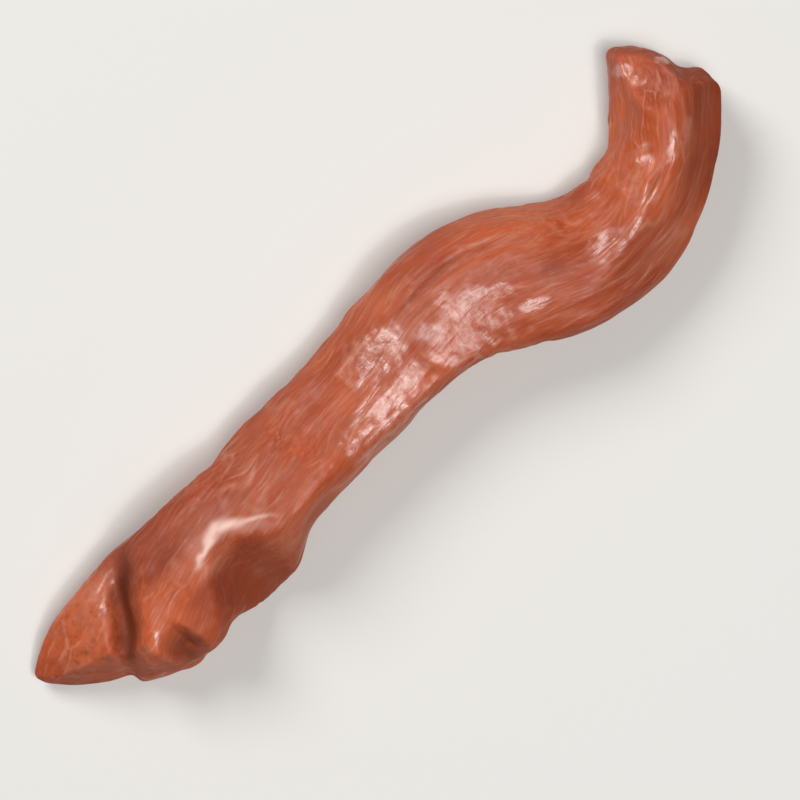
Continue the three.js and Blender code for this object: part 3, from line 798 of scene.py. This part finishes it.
def raw_beef():
    """Raw lean beef, freshly cut: a salmon-brown lean with paler borders between the bundles, soft light
    through its edges and a wet film that breaks into small glints."""
    material = bpy.data.materials.new("raw beef, wet cut surface")
    material.use_nodes = True
    tree = material.node_tree
    shader = tree.nodes["Principled BSDF"]
    found = beef_patterns(tree)
    found["bare"] = add(tree, "Math", (found["painted_shade"], found["furrow"]), operation="MAXIMUM")
    found["film_left"] = add(tree, "MapRange", (found["bare"], 0, 1, 1, 0.3))
    bump = fibre_bump(tree, found)
    for key, output in {
        "Base Color": lean_colour(tree, found),
        "Normal": bump,
        "Coat Normal": bump,
        "Coat Weight": film_weight(tree, found),
        "Roughness": roughness_under_film(tree, found),
    }.items():
        tree.links.new(output, shader.inputs[key])
    for key, value in {
        "IOR": 1.4,
        "Specular IOR Level": 0.3,
        "Subsurface Weight": 0.5,
        "Subsurface Radius": (1.0, 0.35, 0.2),
        "Subsurface Scale": 0.0006,
        "Coat IOR": 1.45,
        "Coat Roughness": 0.3,
    }.items():
        shader.inputs[key].default_value = value
    return material


def pale_board():
    """A plain matt board: keeps the light neutral and takes a soft shadow."""
    material = bpy.data.materials.new("pale board, matt")
    material.use_nodes = True
    shader = material.node_tree.nodes["Principled BSDF"]
    shader.inputs["Base Color"].default_value = linear("#d9d7d3")
    shader.inputs["Roughness"].default_value = 0.85
    return material


# The strip
MM = 0.001
straight, masks = strip_points()
points = bend(straight) * MM
low, high = points.reshape(-1, 3).min(axis=0), points.reshape(-1, 3).max(axis=0)
cad_low, cad_high = (np.array(corner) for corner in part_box("beef_strip"))
shift = (cad_low + cad_high) / 2 - (low + high) / 2
points += (shift[0], shift[1], cad_low[2] - low[2])
strip = grid_mesh("raw_beef_strip", points, masks, straight)
strip.data.materials.append(raw_beef())
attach(strip, "root")
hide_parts("beef_strip")

# The surface it lies on, in metres
HALF_FLOOR = 1.5
floor_corners = [(x * HALF_FLOOR, y * HALF_FLOOR, 0) for x, y in ((-1, -1), (1, -1), (1, 1), (-1, 1))]
floor_mesh = bpy.data.meshes.new("floor")
floor_mesh.from_pydata(floor_corners, [], [(0, 1, 2, 3)])
floor = bpy.data.objects.new("floor", floor_mesh)
bpy.context.scene.collection.objects.link(floor)
floor_mesh.materials.append(pale_board())

# The light: round soft lamps aimed at the strip, each placed by its distance to the right and up in the
# picture and its height, in metres, with its width and its power in watts
CAMERA_TURN = math.radians(49.5)  # how far +X points above the picture's right
LAMPS = {
    "upper left softbox": (-0.34, 0.36, 0.45, 0.35, 2.9),
    "overhead softbox": (0.12, -0.1, 0.6, 0.3, 2.3),
    "small lamp": (0.17, -0.12, 0.58, 0.05, 0.4),
}
for name, (right, up, height, width, power) in LAMPS.items():
    light = bpy.data.lights.new(name, "AREA")
    light.shape = "DISK"
    light.size = width
    light.energy = power
    lamp = bpy.data.objects.new(name, light)
    c, s = math.cos(CAMERA_TURN), math.sin(CAMERA_TURN)
    lamp.location = (right * c + up * s, -right * s + up * c, height)
    lamp.rotation_euler = (-lamp.location).to_track_quat("-Z", "Y").to_euler()
    bpy.context.scene.collection.objects.link(lamp)

scene = bpy.context.scene
world = bpy.data.worlds.new("studio")
world.use_nodes = True
world.node_tree.nodes["Background"].inputs["Color"].default_value = linear("#ffffff")
world.node_tree.nodes["Background"].inputs["Strength"].default_value = 0.12
scene.world = world
scene.view_settings.view_transform = "Standard"

# The camera: straight down, turned as the photograph shows the strip
CAMERA_HEIGHT = 0.37
camera_data = bpy.data.cameras.new("camera")
camera_data.lens = 200
camera = bpy.data.objects.new("camera", camera_data)
camera.location = (0, 0, CAMERA_HEIGHT)
camera.rotation_euler = (0, 0, -CAMERA_TURN)
scene.collection.objects.link(camera)
scene.camera = camera
